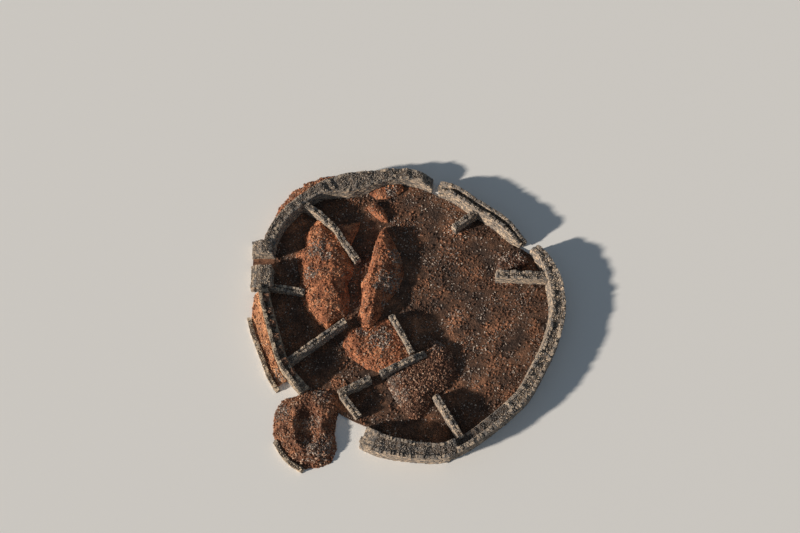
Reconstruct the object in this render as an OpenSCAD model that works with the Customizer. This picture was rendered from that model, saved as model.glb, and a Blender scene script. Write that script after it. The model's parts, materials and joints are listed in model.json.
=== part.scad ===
// Round dry-stone homestead, ruined and roofless: a ring wall round courts parted by straight walls.
// Millimetres. +X is east, +Y north, +Z up. The origin is on the ground in the middle of the ring.
// Bearings run anticlockwise from east.

/* [Ring wall] */
// Radius of the ring wall's outer foot, before the survey's own bulges
ring_radius = 16000; // [15000:100:17000]
// Lean of every wall face, per unit of height
batter = 0.07; // [0.03:0.01:0.1]
// Thickness of the coursed facing on each side of the rubble core
facing = 300; // [200:10:330]
// Unevenness of the broken crests, up and down
crest_rough = 110; // [20:10:180]
// Height of the east wall
east_height = 2450; // [2000:50:3000]
// Width of the east wall's top
east_top = 1400; // [1100:50:1700]
// Height of the south wall
south_height = 2300; // [1800:50:2800]
// Width of the south wall's top at its broken west end
south_top = 2100; // [1700:50:2300]
// Height of the southwest wall, the thin one
southwest_height = 2500; // [2000:50:2900]
// Width of the southwest wall's top
southwest_top = 900; // [750:50:1100]
// Depth to which the southwest wall's inner side has fallen below its outer facing
southwest_step = 600; // [450:50:800]
// Height of the north and northwest walls
north_height = 2100; // [1700:50:2600]
// Width of the north wall's top where it is widest
north_top = 2300; // [1800:50:2500]
// Width of the northwest wall's top
northwest_top = 1100; // [850:50:1400]
// Height of the northeast wall
northeast_height = 2350; // [1800:50:2900]
// Width of the northeast wall's top
northeast_top = 1150; // [900:50:1300]
// Depth that the rubble core of the northeast wall has slumped between its two facings
core_slump = 450; // [100:50:700]
// Length over which a broken end steps down
rack_run = 1500; // [900:100:2200]

/* [Southeast walk] */
// Height of the walk inside the southeast parapet
walk_height = 1550; // [1000:50:1800]
// Width of the southeast parapet's top
parapet_top = 480; // [350:10:600]

/* [West gate] */
// Clear width of the passage
gate_width = 1450; // [1100:50:1700]
// Length of the passage, which is the depth of its piers
gate_depth = 2450; // [2000:50:2900]
// Height of the two piers
pier_height = 2300; // [1900:50:2600]
// Height of the earth sill in the passage
sill_height = 260; // [220:10:400]

/* [Crest blocks] */
// Height of the blocks left standing behind the southwest wall's outer facing
block_height = 450; // [250:10:550]
// Length of one block along the wall
block_length = 700; // [450:50:900]

/* [Courts] */
// Thickness of the rammed earth floor
floor_thickness = 200; // [120:10:260]
// Height of the partition walls above the floor
partition_height = 1650; // [1300:50:2000]
// Width of a partition wall's top
partition_top = 560; // [450:10:700]
// Height of the low walls above the floor
low_wall_height = 950; // [700:50:1200]
// Clear width of the doorway in the cross wall
doorway_width = 1250; // [900:50:1500]

/* [Rubble] */
// Height of the west mound above the floor
west_mound_height = 1300; // [900:50:1600]
// Height of the middle ridge above the floor
ridge_height = 1700; // [1000:50:2000]
// Height of the earth platform above the floor
platform_height = 850; // [500:50:1100]
// Height of the south mound above the floor
south_mound_height = 1000; // [600:50:1300]
// Height of the small fallen heaps above the floor
heap_height = 700; // [400:50:900]
// Height of the rubble in the southwest breach
breach_height = 1150; // [700:50:1400]
// Height to which fallen stone lies against the northwest wall
talus_height = 1350; // [800:50:1600]
// Reach of that fallen stone from the wall's foot
talus_reach = 1500; // [800:50:1700]

/* [Outer terrace] */
// Height of the kerb walls outside the ring
kerb_height = 650; // [450:50:850]
// Width of a kerb wall's top
kerb_top = 380; // [300:10:500]
// Height to which the earth bank lies against the southwest wall
bank_height = 1500; // [900:50:1800]

/* [Hidden] */

stone = [0.62, 0.56, 0.47];
rubble_stone = [0.50, 0.45, 0.40];
earth = [0.56, 0.33, 0.20];

// Millimetres of this model for one metre of the survey
plan_unit = ring_radius / 16;
// Bearing between neighbouring stations of a curved wall, and distance between those of a straight one
station_step = 1.6;
station_run = 500;
// Height of one course of stone: a broken crest steps by half of it
course = 150;
// Half the span over which the surveyed outline is smoothed
smooth_span = 2.5;
// Width of the lip where a facing stands over a slumped core, and unevenness of the core's top
lip = 20;
core_rough = 40;
// Unevenness of the tops of the piers and the walk, and of the kerbs
pier_rough = 60;
kerb_rough = 40;
// Depth of the core's top below the lower facing: sound walls, partitions, and where it is heaped above
sound_slump = 60;
partition_slump = 30;
heaped_slump = -60;
// Height of a heap's edge where it runs out
heap_edge = 60;
// Depth to which a partition is carried into the wall that is then cut from it
reach_in = 300;
// Clearance between a floor, bank or heap and what it lies on or against
seat = 0.3;
// Thickness of a partition's facings, and the most that a facing takes of a wall's top
partition_facing = 200;
facing_share = 0.42;
// Widths of the odd partitions' tops
screen_top = 600;
low_wall_top = 620;
central_top = 440;
south_partition_top = 520;
east_partition_top = 820;

// Bearings of the breaks and of the joins between lengths of the ring wall
east_wall_bearings = [-47, -3, 12, 28];
walk_bearings = [-73.5, -47];
south_wall_bearings = [249, 280, 286.5];
southwest_wall_bearings = [169.5, 191, 217];
north_wall_bearings = [81.5, 108, 130, 156];
northeast_wall_bearings = [33, 54, 78];
kerb_bearings = [182, 211];
outer_kerb_bearings = [224, 236];
talus_bearings = [117, 153];
bank_bearings = [172, 210];

// Surveyed outline of the ring's outer foot: bearing, and distance out from ring_radius in survey metres
outline = [
    [-80, 1.05], [-72, 0.75], [-66, 0.45], [-58, 0.12], [-48, 0.05], [-38, 0.20], [-30, 0.05],
    [-22, 0.15], [-14, 0.50], [-8, 0.70], [-3, 1.00], [5, 1.10], [12, 1.15], [20, 0.80], [28, 0.40],
    [36, -0.75], [43, -0.55], [50, -0.70], [60, -0.80], [68, -0.30], [74, 0], [80, 0.30],
    [90, 1.20], [98, 1.40], [107, 1.70], [115, 2.35], [120, 2.70], [126, 2.90], [132, 3.10],
    [140, 3.30], [148, 3.30], [155, 2.90], [160, 2.30], [166, 2.00], [170, 1.75], [174, 1.50],
    [178, 1.05], [183, 0.65], [188, 0.40], [194, 0.20], [202, 0.20], [207, 0.05], [212, -0.25],
    [217, -0.45], [235, -0.10], [249, 0.25], [253, 0.45], [258, 0.55], [267, 0.60], [272, 0.75],
    [280, 1.05]
];
// Outline of the kerbs' outer feet, in the same form
kerb_outline = [
    [182, 2.65], [187, 2.35], [192, 2.00], [198, 1.75], [205, 1.75], [211, 1.60],
    [224, 5.00], [228, 5.45], [232, 5.60], [236, 5.45]
];
// Width of the ring wall's top by bearing
top_widths = [
    [-80, east_top * 1.15], [-70, east_top], [10, east_top], [17, east_top * 0.85], [28, east_top * 0.55],
    [33, northeast_top * 0.65], [42, northeast_top], [81.5, northeast_top],
    [98, north_top * 0.55], [107, north_top * 0.8], [117, north_top], [128, northwest_top],
    [163, northwest_top], [169.5, southwest_top], [217, southwest_top],
    [249, south_top], [264, south_top * 0.86], [280, east_top * 1.15]
];
function ring_top(a) = lookup(wrapped(a), top_widths);
function ring_height(a) =
    let(b = wrapped(a))
    b < walk_bearings[0] ? south_height
    : b < northeast_wall_bearings[0] ? east_height
    : b < north_wall_bearings[0] ? northeast_height
    : b < (north_wall_bearings[3] + southwest_wall_bearings[0]) / 2 ? north_height
    : b < south_wall_bearings[0] ? southwest_height
    : south_height;

// Middle line of the gate passage, the piers' inner faces, and the piers' lengths along the ring
gate_north = 5.85 * plan_unit;
gate_inner_east = -15.9 * plan_unit;
north_pier_length = 1500;
south_pier_length = 2500;
// Share of its height that a gate pier keeps at its broken west end
pier_west_keep = 0.72;
pier_parts = 4;

function place(east, north) = [east, north] * plan_unit;
function bearing_vector(a) = [cos(a), sin(a)];
function raise(p, z) = [p[0], p[1], z];
function mix(a, b, f) = a + (b - a) * f;
function clamped(x) = max(0, min(1, x));
function wrapped(a) = a > 283 ? a - 360 : a;
function surveyed(a, table) = ring_radius + plan_unit * lookup(a, table);
function outer_foot(a) =
    let(b = wrapped(a), s = smooth_span)
    (surveyed(b - s, outline) + surveyed(b, outline) + surveyed(b + s, outline)) / 3;
function kerb_foot(a) = surveyed(a, kerb_outline);
function foot_width(top, height) = top + 2 * batter * height;
function inner_foot(a, height) = outer_foot(a) - foot_width(ring_top(a), height);
function within_wall(a) = bearing_vector(a) * (inner_foot(a, ring_height(a)) + reach_in);
function noise(i, seed) = rands(-1, 1, 1, seed * 1000 + i)[0];
// Height of a broken crest: it departs from the mean by up to crest_spread times its roughness
crest_spread = 1.6;
function crest(mean, i, seed, rough = crest_rough) =
    mean + round(noise(i, seed) * rough * crest_spread / (course / 2)) * course / 2;

// A solid run through like cross-sections. Each is anticlockwise as seen looking along the run.
function run_faces(n, m) = [
    for (i = [0:m - 2]) for (j = [0:n - 1])
        let(a = i * n + j, b = i * n + (j + 1) % n) each [[a, b, b + n], [a, b + n, a + n]],
    for (j = [1:n - 2]) [0, j + 1, j],
    for (j = [1:n - 2]) let(last = (m - 1) * n) [last, last + j, last + j + 1]
];
module run(rows)
    polyhedron([for (r = rows) each r], run_faces(len(rows[0]), len(rows)), convexity = 6);

// Cross-section of a two-faced wall: p is its middle line, across points to its right side,
// w is its width at the foot, and heights are those of the left facing, the core and the right facing.
function wall_section(p, across, w, heights, z, skin) =
    let(l = -w / 2, r = w / 2, lh = heights[0], ch = heights[1], rh = heights[2])
    [for (q = [
        [l, 0], [r, 0], [r - batter * rh, rh], [r - batter * rh - skin, rh],
        [r - batter * rh - skin - lip, ch], [l + batter * lh + skin + lip, ch],
        [l + batter * lh + skin, lh], [l + batter * lh, lh]
    ]) raise(p + across * q[0], z + q[1])];

// Bearings of the stations along the ring wall through a list of joins
function stations(joins) = [
    for (i = [0:len(joins) - 2])
        let(a0 = joins[i], a1 = joins[i + 1], n = max(2, ceil((a1 - a0) / station_step)))
        for (k = [i == 0 ? 0 : 1:n]) mix(a0, a1, k / n)
];
function between(bearings, a0, a1) = [for (a = bearings) if (a >= a0 && a <= a1) a];
// A station of a wall is [middle point, across, distance from the start, top width].
function ring_stations(a0, a1, height) = [
    for (a = stations([a0, a1]))
        let(t = ring_top(a), u = bearing_vector(a))
        [u * (outer_foot(a) - foot_width(t, height) / 2), u, ring_radius * (a - a0) * PI / 180, t]
];
function subdivided(pts) = [
    for (i = [0:len(pts) - 2])
        let(n = max(1, ceil(norm(pts[i + 1] - pts[i]) / station_run)))
        for (k = [0:n - 1]) mix(pts[i], pts[i + 1], k / n),
    pts[len(pts) - 1]
];
function path_stations(pts, top) =
    let(line = subdivided(pts), last = len(line) - 1)
    [for (k = [0:last])
        let(d = line[min(last, k + 1)] - line[max(0, k - 1)], h = d / norm(d))
        [line[k], [h[1], -h[0]], k * norm(line[last] - line[0]) / last, top]
    ];

// A wall through stations. end_drop is the share of the height lost at each end, over rack_run.
// left_drop lowers the left facing and the core, where that side has fallen.
module wall(stations, height, seed, z, end_drop, slump, left_drop, skin) {
    last = len(stations) - 1;
    length = stations[last][2];
    run([for (k = [0:last])
        let(
            st = stations[k],
            joins = (k == 0 && end_drop[0] == 0) || (k == last && end_drop[1] == 0),
            keep = 1 - end_drop[0] * clamped(1 - st[2] / rack_run)
                - end_drop[1] * clamped(1 - (length - st[2]) / rack_run),
            left_h = ((joins ? height : crest(height, k, seed)) - left_drop) * keep,
            right_h = (joins ? height : crest(height, k, seed + 7)) * keep,
            core_h = left_drop > 0 ? left_h
                : min(left_h, right_h) - slump + core_rough * noise(k, seed + 3)
        )
        wall_section(st[0], st[1], foot_width(st[3], height), [left_h, core_h, right_h], z,
            min(skin, (st[3] - 2 * lip) * facing_share))
    ]);
}
module ring_wall(a0, a1, seed, end_drop = [0, 0], slump = sound_slump, left_drop = 0)
    let(height = ring_height((a0 + a1) / 2))
    wall(ring_stations(a0, a1, height), height, seed, 0, end_drop, slump, left_drop, facing);

// A heap over a plan outline given anticlockwise in survey metres as [east, north, edge]: edge is the
// share of the height at which the heap stands against a wall there, and is left out where it runs out.
// Its slopes rise to the line from ridge[0] to ridge[1]. heap_levels are [way in to that line, rise].
heap_levels = [[0, 0.04], [0.16, 0.40], [0.36, 0.72], [0.58, 0.92], [0.80, 1]];
function nearest(p, ridge) =
    let(d = ridge[1] - ridge[0])
    ridge[0] + d * clamped((p - ridge[0]) * d / (d * d));
function heap_faces(n, m) = [
    for (i = [0:m - 2]) for (j = [0:n - 1])
        let(a = i * n + j, b = i * n + (j + 1) % n) each [[a, b + n, b], [a, a + n, b + n]],
    for (j = [0:n - 1]) [(m - 1) * n + j, m * n, (m - 1) * n + (j + 1) % n],
    [for (j = [0:n - 1]) j]
];
module heap(points, ridge, height, seed) {
    n = len(points);
    z = floor_thickness;
    r = [place(ridge[0][0], ridge[0][1]), place(ridge[1][0], ridge[1][1])];
    rows = [
        [for (p = points) raise(place(p[0], p[1]), z)],
        for (k = [0:len(heap_levels) - 1]) [
            for (j = [0:n - 1])
                let(
                    p = points[j], q = place(p[0], p[1]), edge = len(p) > 2 ? p[2] : 0,
                    rough = k == 0 ? 0 : 0.09 * noise(k * 100 + j, seed),
                    rise = max(heap_levels[k][1], edge) * (1 + rough)
                )
                raise(mix(q, nearest(q, r), heap_levels[k][0]), z + max(heap_edge, height * rise))
        ]
    ];
    polyhedron(
        [for (row = rows) each row, raise((r[0] + r[1]) / 2, z + height)],
        heap_faces(n, len(rows)), convexity = 8
    );
}

// West gate
module gate_pier(south, north, seed)
    run([for (k = [0:pier_parts])
        let(
            f = k / pier_parts, x = gate_inner_east - gate_depth * f,
            keep = mix(1, pier_west_keep, clamped(2 * f - 1)),
            h = crest(pier_height, k, seed, pier_rough) * keep,
            s = k == 0 ? -1 : k == pier_parts ? 1 : 0
        )
        [
            [x, south, 0], [x, north, 0],
            [x + s * batter * h, north, h], [x + s * batter * h, south, h]
        ]
    ]);
module west_gate_north_pier() color(stone)
    gate_pier(gate_north + gate_width / 2, gate_north + gate_width / 2 + north_pier_length, 3);
module west_gate_south_pier() color(stone)
    gate_pier(gate_north - gate_width / 2 - south_pier_length, gate_north - gate_width / 2, 5);
module west_gate_sill() color(earth)
    translate([gate_inner_east - gate_depth, gate_north - gate_width / 2, 0])
        cube([gate_depth, gate_width, sill_height]);

// Ring wall
module northwest_wall_uncut()
    ring_wall(north_wall_bearings[2], north_wall_bearings[3], 11, slump = heaped_slump);
// The two walls that meet the gate stop at the pier's face, above its top as well
module gate_pier_space(south, length)
    translate([gate_inner_east - gate_depth, south, -reach_in])
        cube([gate_depth, length, 2 * (pier_height + reach_in)]);
module northwest_wall() color(stone) difference() {
    northwest_wall_uncut();
    gate_pier_space(gate_north + gate_width / 2, north_pier_length);
}
module north_wall_west() color(stone)
    ring_wall(north_wall_bearings[1], north_wall_bearings[2], 12, slump = heaped_slump);
module north_wall_east() color(stone)
    ring_wall(north_wall_bearings[0], north_wall_bearings[1], 13, [0.45, 0], heaped_slump);
module northeast_wall_north() color(stone)
    ring_wall(northeast_wall_bearings[1], northeast_wall_bearings[2], 14, [0, 0.4], core_slump);
module northeast_wall_south() color(stone)
    ring_wall(northeast_wall_bearings[0], northeast_wall_bearings[1], 15, [0.6, 0], core_slump);
module east_wall_north() color(stone)
    ring_wall(east_wall_bearings[2], east_wall_bearings[3], 16, [0, 0.25]);
module east_wall_middle() color(stone)
    ring_wall(east_wall_bearings[1], east_wall_bearings[2], 17);
module east_wall_south() color(stone)
    ring_wall(east_wall_bearings[0], east_wall_bearings[1], 18);
module south_wall_east() color(stone)
    ring_wall(south_wall_bearings[1], south_wall_bearings[2], 19);
module south_wall_west() color(stone)
    ring_wall(south_wall_bearings[0], south_wall_bearings[1], 20, [0.55, 0]);
module southwest_wall_south() color(stone)
    ring_wall(southwest_wall_bearings[1], southwest_wall_bearings[2], 21, [0, 0.6],
        left_drop = southwest_step);
module southwest_wall_north_uncut()
    ring_wall(southwest_wall_bearings[0], southwest_wall_bearings[1], 22, left_drop = southwest_step);
module southwest_wall_north() color(stone) difference() {
    southwest_wall_north_uncut();
    gate_pier_space(gate_north - gate_width / 2 - south_pier_length, south_pier_length);
}

// Blocks that stand on the fallen inner side, behind the outer facing
block_bearings = [175.5, 181, 186.5, 192.5, 198, 203.5, 209];
block_vary = 0.2;
module southwest_crest_blocks() color(stone) difference() {
    for (k = [0:len(block_bearings) - 1])
        let(
            a = block_bearings[k], low = southwest_height - southwest_step,
            inner = inner_foot(a, southwest_height) + batter * low
        )
        rotate([0, 0, a]) translate([inner, -block_length / 2, low - 2 * course])
            cube([
                ring_top(a) - facing, block_length * (1 + block_vary * noise(k, 8)),
                block_height * (1 + block_vary * noise(k, 9)) + 2 * course
            ]);
    southwest_wall_north_uncut();
    southwest_wall_south();
}

// Southeast: a walk inside a parapet, together as wide as the east wall
walk_line = stations(walk_bearings);
function walk_edge(a) = outer_foot(a) - parapet_top - batter * east_height;
module southeast_walk() color(stone)
    run([for (k = [0:len(walk_line) - 1])
        let(
            a = walk_line[k], u = bearing_vector(a), i = inner_foot(a, east_height),
            h = crest(walk_height, k, 31, pier_rough), o = walk_edge(a)
        )
        [raise(u * i, 0), raise(u * o, 0), raise(u * o, h), raise(u * (i + batter * h), h)]
    ]);
module southeast_parapet() color(stone)
    run([for (k = [0:len(walk_line) - 1])
        let(
            a = walk_line[k], u = bearing_vector(a), r = outer_foot(a), o = walk_edge(a),
            h = crest(east_height, k, 32, k == 0 || k == len(walk_line) - 1 ? 0 : crest_rough)
        )
        [raise(u * o, 0), raise(u * r, 0), raise(u * (r - batter * h), h), raise(u * o, h)]
    ]);

// Fallen stone against the northwest wall's outer face
talus_line = between(stations(north_wall_bearings), talus_bearings[0], talus_bearings[1]);
module northwest_talus() color(rubble_stone)
    run([for (k = [0:len(talus_line) - 1])
        let(
            a = talus_line[k], f = k / (len(talus_line) - 1), u = bearing_vector(a), r = outer_foot(a) + seat,
            swell = 0.3 + 0.7 * sin(180 * min(1, f * 1.1 + 0.1)),
            h = talus_height * swell * (1 + 0.12 * noise(k, 41)),
            reach = talus_reach * swell * (1 + 0.15 * noise(k, 42))
        )
        [
            raise(u * r, 0), raise(u * (r + reach), 0), raise(u * (r + reach), heap_edge),
            raise(u * (r + reach * 0.45), h * 0.62), raise(u * (r - batter * h), h)
        ]
    ]);

// Kerb walls, and the earth bank that one of them holds against the ring
kerb_parts = 10;
kerb_end_keep = 0.6;
module kerb(bearings, seed)
    run([for (k = [0:kerb_parts])
        let(
            a = mix(bearings[0], bearings[1], k / kerb_parts), u = bearing_vector(a), r = kerb_foot(a),
            i = r - foot_width(kerb_top, kerb_height),
            h = crest(kerb_height, k, seed, kerb_rough) * (k == 0 || k == kerb_parts ? kerb_end_keep : 1)
        )
        [raise(u * i, 0), raise(u * r, 0), raise(u * (r - batter * h), h), raise(u * (i + batter * h), h)]
    ]);
module west_kerb() color(stone) kerb(kerb_bearings, 51);
module southwest_kerb() color(stone) kerb(outer_kerb_bearings, 52);
bank_line = between(stations(southwest_wall_bearings), bank_bearings[0], bank_bearings[1]);
// Height at which the bank meets the kerb, by bearing
bank_lows = [
    [bank_bearings[0], heap_edge],
    [kerb_bearings[0], kerb_height * 0.5],
    [kerb_bearings[1], kerb_height * 0.3]
];
module west_bank() color(earth)
    run([for (k = [0:len(bank_line) - 1])
        let(
            a = bank_line[k], f = k / (len(bank_line) - 1), u = bearing_vector(a), r = outer_foot(a) + seat,
            o = kerb_foot(a) - foot_width(kerb_top, kerb_height) - seat, low = lookup(a, bank_lows),
            h = bank_height * (1 - 0.6 * f * f) * (1 + 0.05 * noise(k, 53))
        )
        [
            raise(u * r, 0), raise(u * o, 0), raise(u * o, low),
            raise(u * mix(r, o, 0.45), mix(low, h, 0.5)), raise(u * (r - batter * h), h)
        ]
    ]);

// Rubble in the breach, heaped round a hollow: [east, north] of its edge, and the hollow's radius that way
breach_middle = [-11.4, -13.0];
breach_rim = [
    [-12.6, -9.3, 1.7], [-14.4, -9.9, 1.5], [-15.2, -11.2, 1.2], [-15.3, -12.6, 1.0], [-15.2, -14.0, 1.0],
    [-14.6, -15.4, 1.2], [-13.6, -16.5, 1.5], [-12.2, -17.5, 1.9], [-10.1, -17.3, 1.6], [-8.8, -16.8, 1.2],
    [-8.2, -15.2, 1.1], [-8.5, -13.5, 1.0], [-8.3, -12.0, 1.0], [-7.9, -10.6, 1.1], [-7.9, -9.4, 1.4],
    [-9.0, -8.7, 1.5], [-10.4, -8.5, 1.6], [-11.6, -8.7, 1.7]
];
// The slopes' levels as [way in from the edge to the hollow, rise]
breach_levels = [[0.40, 0.70], [0.80, 1], [1, 0.40]];
breach_floor = 0.3;
module breach_heap() {
    n = len(breach_rim);
    middle = place(breach_middle[0], breach_middle[1]);
    rows = [
        for (z = [0, heap_edge]) [for (p = breach_rim) raise(place(p[0], p[1]), z)],
        for (k = [0:len(breach_levels) - 1]) [
            for (j = [0:n - 1])
                let(
                    p = breach_rim[j], d = place(p[0], p[1]) - middle, rim = norm(d),
                    out = mix(rim, p[2] * plan_unit, breach_levels[k][0]),
                    lift = breach_levels[k][1] * (1 + 0.12 * noise(k * 50 + j, 61))
                )
                raise(middle + d / rim * out, breach_height * lift)
        ]
    ];
    polyhedron(
        [for (row = rows) each row, raise(middle, breach_height * breach_floor)],
        heap_faces(n, len(rows)), convexity = 8
    );
}
module breach_rubble() color(rubble_stone) difference() {
    breach_heap();
    floor_west();
    floor_south();
    southwest_wall_south();
    southwest_kerb();
    west_kerb();
    west_bank();
    cross_wall_west();
    gate_screen_wall();
}

// Walls inside the ring
module partition(points, seed, height = partition_height, top = partition_top, end_drop = [0, 0])
    wall(path_stations(points, top), height, seed, floor_thickness, end_drop, partition_slump, 0,
        partition_facing);

module northwest_partition_uncut()
    partition(
        [within_wall(134.5), place(-10.7, 11.55), place(-8.75, 9.6), place(-8.0, 8.3), place(-6.3, 5.95)],
        71, end_drop = [0, 0.2]
    );
module northwest_partition() color(stone) difference() {
    northwest_partition_uncut();
    northwest_wall_uncut();
}
module west_cross_wall_uncut()
    partition([place(-16.4, 2.95), place(-12.3, 2.3)], 73, low_wall_height, low_wall_top);
module west_cross_wall() color(stone) difference() {
    west_cross_wall_uncut();
    southwest_wall_north_uncut();
    west_gate_south_pier();
}
module southwest_partition_uncut() partition([within_wall(203.6), place(-7.6, -1.3)], 74);
module southwest_partition() color(stone) difference() {
    southwest_partition_uncut();
    southwest_wall_south();
}
cross_wall_ends = [place(-8.1, -9.45), place(1.3, -4.95)];
cross_wall_length = norm(cross_wall_ends[1] - cross_wall_ends[0]);
// Share of the cross wall's length at which its doorway stands
door_at = 0.42;
function cross_wall_at(s) = mix(cross_wall_ends[0], cross_wall_ends[1], s);
module cross_wall_west() color(stone)
    partition([cross_wall_at(0), cross_wall_at(door_at - doorway_width / 2 / cross_wall_length)], 75);
module cross_wall_east() color(stone)
    partition([cross_wall_at(door_at + doorway_width / 2 / cross_wall_length), cross_wall_at(1)], 76,
        end_drop = [0, 0.4]);
module gate_screen_wall_uncut()
    partition([place(-7.75, -9.6), place(-5.95, -11.9)], 77, low_wall_height * 1.3, screen_top,
        end_drop = [0, 0.2]);
module gate_screen_wall() color(stone) difference() {
    gate_screen_wall_uncut();
    cross_wall_west();
}
module central_partition_uncut()
    partition([place(-2.45, -0.5), place(-0.15, -4.9)], 78, top = central_top, end_drop = [0.4, 0]);
module central_partition() color(stone) difference() {
    central_partition_uncut();
    cross_wall_east();
}
module south_partition_uncut()
    partition([place(2.4, -9.65), within_wall(289.6)], 79, top = south_partition_top, end_drop = [0.3, 0]);
module south_partition() color(stone) difference() {
    south_partition_uncut();
    southeast_walk();
}
module east_partition() color(stone) difference() {
    partition([place(9.45, 4.2), within_wall(14.6)], 80, top = east_partition_top);
    east_wall_north();
}
module northeast_partition() color(stone) difference() {
    partition([place(4.75, 9.95), within_wall(58.2)], 81);
    northeast_wall_north();
}

// Mounds of fallen stone and earth on the floor. Each reaches into the walls that it lies against.
module west_mound() color(earth) difference() {
    heap([
        [-6.75, 6.45, 0.2], [-7.4, 7.25, 0.45], [-8.1, 8.4, 0.8], [-8.9, 9.65, 0.75], [-9.8, 10.6, 0.4],
        [-10.95, 11.45, 0.2], [-11.9, 10.4], [-12.7, 9.3], [-12.4, 7.8], [-13.5, 7.1], [-13.2, 5.6],
        [-12.9, 4.3], [-13.0, 3.3], [-12.6, 1.4], [-11.7, -0.4], [-10.6, -1.4], [-9.6, -2.0],
        [-8.9, -1.2], [-7.4, -0.2], [-7.1, 1.5], [-7.4, 3.3], [-6.8, 4.9]
    ], [[-10.1, 7.9], [-9.6, 1.4]], west_mound_height, 91);
    northwest_partition_uncut();
    west_cross_wall_uncut();
    southwest_partition_uncut();
}
module west_mound_spur() color(earth) difference() {
    heap([
        [-9.55, 10.5, 0.1], [-8.67, 9.68, 0.8], [-7.9, 8.35, 0.75], [-7.3, 7.55, 0.1], [-6.9, 8.6],
        [-6.3, 10.0], [-6.0, 11.2], [-7.3, 10.7], [-8.6, 10.8]
    ], [[-8.0, 9.2], [-7.2, 9.9]], heap_height * 1.3, 92);
    northwest_partition_uncut();
}
module middle_ridge() color(earth)
    heap([
        [-3.2, 10.5], [-4.0, 9.4], [-4.5, 8.0], [-4.8, 6.3], [-5.1, 4.8], [-6.0, 3.5], [-5.8, 2.2],
        [-5.9, 0.8], [-6.3, -0.7], [-5.7, -1.9], [-4.7, -2.0], [-3.7, -0.5], [-2.9, 1.3], [-1.6, 2.8],
        [-1.0, 4.6], [-1.3, 6.5], [-2.0, 8.2], [-2.7, 9.6]
    ], [[-3.8, 8.2], [-4.9, -0.2]], ridge_height, 93);
module earth_platform() color(earth) difference() {
    heap([
        [-5.1, -1.5], [-6.6, -1.6], [-7.5, -2.2], [-7.9, -3.8], [-7.3, -5.0], [-6.2, -5.8], [-5.2, -6.5],
        [-4.1, -6.7], [-3.3, -7.15, 0.6], [-2.3, -6.65, 0.85], [-0.6, -5.85, 0.85], [0.4, -5.4, 0.8],
        [-0.3, -4.5, 0.8], [-1.0, -3.2, 0.85], [-1.7, -1.9, 0.7], [-2.3, -0.8, 0.3], [-3.0, -0.6]
    ], [[-6.0, -3.6], [-2.4, -4.6]], platform_height, 94);
    middle_ridge();
    central_partition_uncut();
    cross_wall_east();
}
module south_mound() color(rubble_stone) difference() {
    heap([
        [2.4, -3.1], [1.6, -3.6], [1.5, -4.75, 0.5], [-0.1, -5.5, 0.6], [-1.6, -6.2, 0.5], [-2.8, -6.8, 0.2],
        [-3.0, -8.2], [-2.2, -9.6], [-1.6, -10.7], [-0.6, -11.9], [0.4, -12.3], [1.3, -11.3], [1.9, -10.3],
        [2.6, -9.4, 0.3], [4.0, -8.5], [4.7, -7.0], [4.5, -5.4], [3.9, -3.9]
    ], [[2.6, -5.6], [-0.2, -9.2]], south_mound_height, 95);
    cross_wall_east();
    south_partition_uncut();
}
module north_heaps() color(earth) {
    heap([
        [-5.4, 12.9], [-4.7, 12.0], [-3.6, 11.1], [-2.8, 11.0], [-3.0, 12.0], [-3.6, 13.0], [-4.4, 13.6]
    ], [[-4.6, 12.8], [-3.5, 11.8]], heap_height, 96);
    difference() {
        heap([
            [-5.1, 14.7], [-4.3, 13.95], [-3.0, 14.0], [-1.5, 14.6], [-0.9, 15.5, 0.6], [-1.8, 16.1, 0.8],
            [-3.2, 15.9, 0.8], [-4.4, 15.6, 0.6]
        ], [[-3.6, 15.0], [-2.1, 15.3]], heap_height, 97);
        north_wall_east();
    }
}
module east_heap() color(rubble_stone)
    heap([
        [9.5, 5.2], [10.8, 5.1], [12.2, 5.3], [13.3, 5.8], [13.3, 6.6], [12.2, 7.4], [10.8, 7.1], [9.8, 6.4]
    ], [[10.4, 6.0], [12.3, 6.3]], heap_height, 98);

// Rammed earth floor inside the ring, in four parts. It ends at the foot of the walls' inner faces, and
// crosses the breaks on the same line.
floor_meeting = place(2, 3);
function floor_edge(a) = bearing_vector(a) * (inner_foot(a, ring_height(a)) - seat);
module floor_part(edge) linear_extrude(floor_thickness) polygon([floor_meeting, each edge]);
module floor_east() color(earth)
    floor_part([
        for (a = stations([south_wall_bearings[1], south_wall_bearings[2]])) floor_edge(a),
        for (a = stations([walk_bearings[0], walk_bearings[1], east_wall_bearings[1], east_wall_bearings[2]]))
            floor_edge(a)
    ]);
module floor_north() color(earth)
    floor_part([
        for (a = stations([
            east_wall_bearings[2], east_wall_bearings[3], each northeast_wall_bearings,
            north_wall_bearings[0], north_wall_bearings[1]
        ])) floor_edge(a)
    ]);
gate_edge = gate_inner_east + seat;
gate_south = gate_north - gate_width / 2 - south_pier_length - seat;
module floor_west() color(earth)
    floor_part([
        for (a = stations([north_wall_bearings[1], north_wall_bearings[2], north_wall_bearings[3]]))
            let(p = floor_edge(a)) [max(p[0], gate_edge), p[1]],
        [gate_edge, gate_south],
        for (a = stations([southwest_wall_bearings[0], southwest_wall_bearings[1]]))
            let(p = floor_edge(a)) if (p[1] < gate_south) p
    ]);
module floor_south() color(earth)
    floor_part([
        for (a = stations([
            southwest_wall_bearings[1], southwest_wall_bearings[2],
            south_wall_bearings[0], south_wall_bearings[1]
        ])) floor_edge(a)
    ]);

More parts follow.
